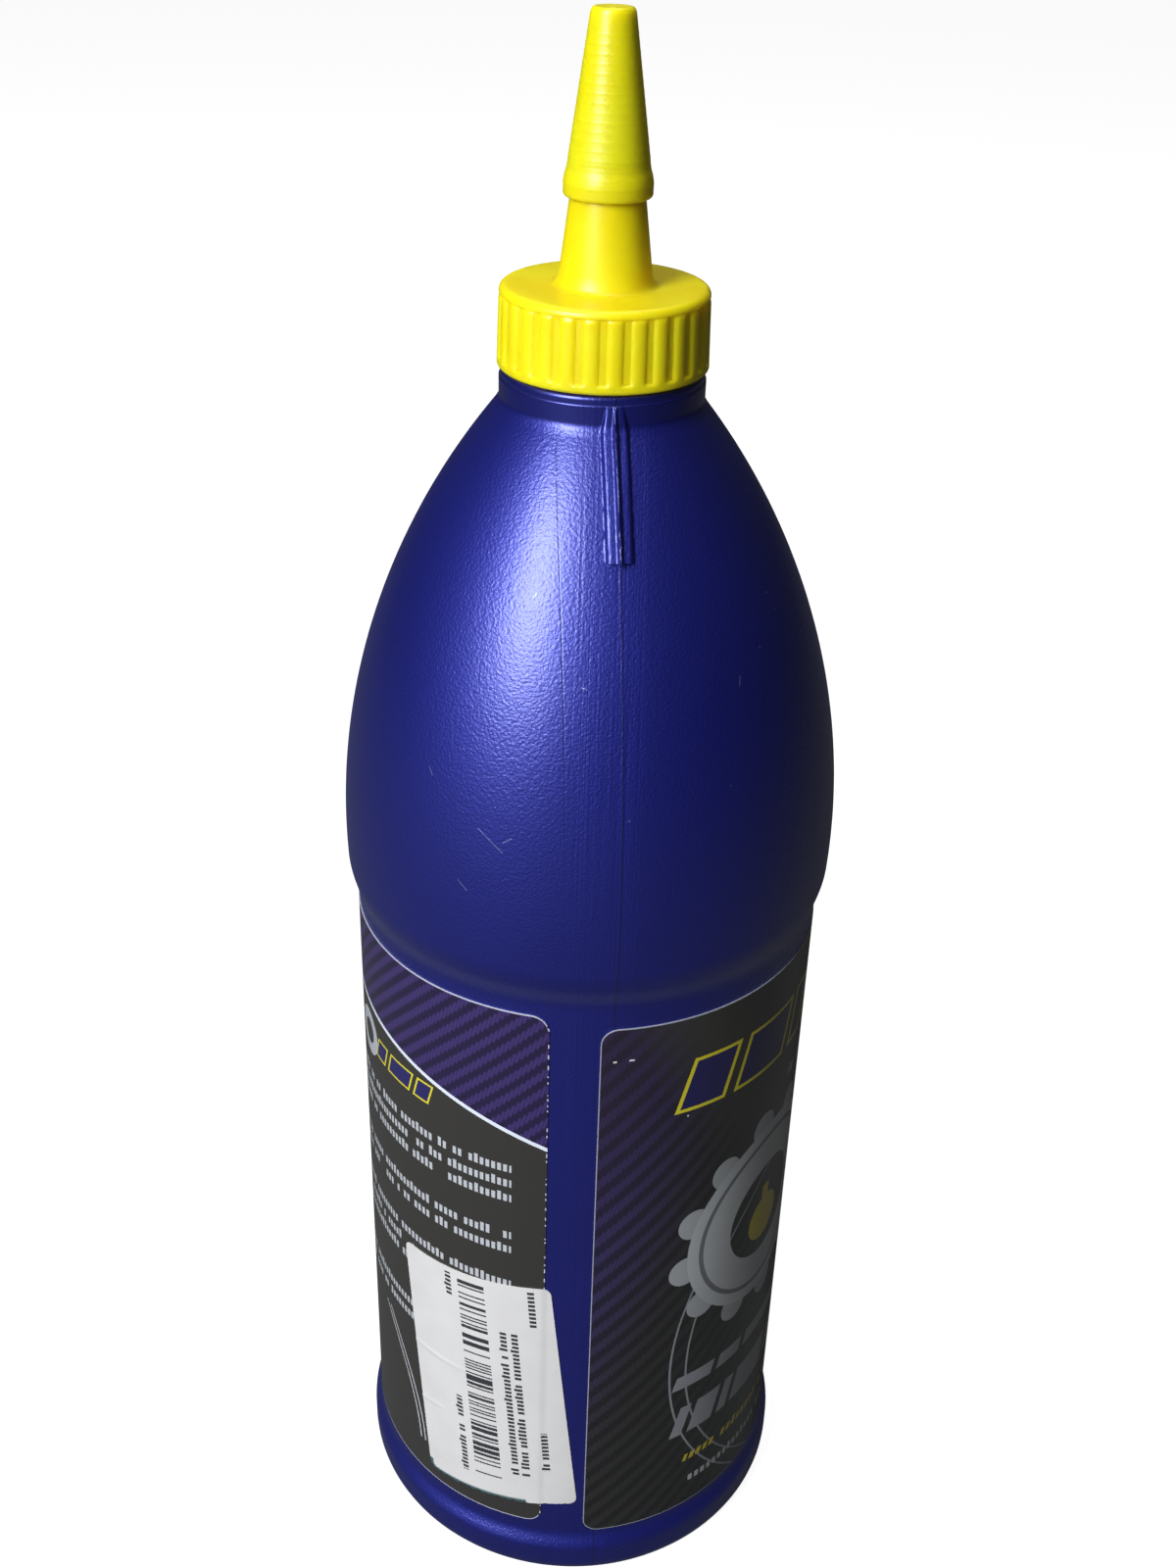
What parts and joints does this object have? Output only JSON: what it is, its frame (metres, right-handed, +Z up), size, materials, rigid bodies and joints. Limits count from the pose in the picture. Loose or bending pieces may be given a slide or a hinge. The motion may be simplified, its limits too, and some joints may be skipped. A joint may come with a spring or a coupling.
{
  "type": "gear oil bottle",
  "caption": "Round blow-moulded bottle of gear oil with a bullet shoulder, wrap labels and a barcode sticker, closed by a screw-on spout cap whose nozzle has a pull-off tip cap.",
  "frame": {"origin": "centre of the standing base, on the floor plane", "axes": "+Z up along the bottle's axis; -Y towards the side with the gap between the labels"},
  "size_m": [0.0844, 0.0844, 0.2814],
  "materials": {
    "blue_hdpe": "satin, pearlescent, finely grained",
    "front_film": "printed gloss film",
    "back_film": "printed gloss film",
    "sticker_paper": "printed matt paper",
    "foil": "satin",
    "oil": "clear amber liquid",
    "liner_foam": "foamed, matt",
    "yellow_cap": "satin",
    "yellow_tip": "satin"
  },
  "bodies": {
    "bottle": {"bottle": "blue_hdpe", "front_label": "front_film", "back_label": "back_film", "barcode_sticker": "sticker_paper", "foil_seal": "foil", "gear_oil": "oil"},
    "cap_liner": {"cap_liner": "liner_foam"},
    "spout_cap": {"spout_cap": "yellow_cap"},
    "tip_cap": {"tip_cap": "yellow_tip"}
  },
  "joints": [
    {"name": "cap_lift", "type": "slide", "parent": "bottle", "child": "cap_liner", "axis": [0, 0, 1], "range_m": [0, 0.0043]},
    {"name": "cap_turn", "type": "hinge", "parent": "cap_liner", "child": "spout_cap", "pos_m": [0, 0, 0.2418], "axis": [0, 0, 1], "range_deg": [0, 360]},
    {"name": "tip_pull", "type": "slide", "parent": "spout_cap", "child": "tip_cap", "axis": [0, 0, 1], "range_m": [0, 0.026]}
  ],
  "couplings": [
    {"joint": "cap_lift", "follows": "cap_turn", "m_per_rad": 0.00067322}
  ]
}
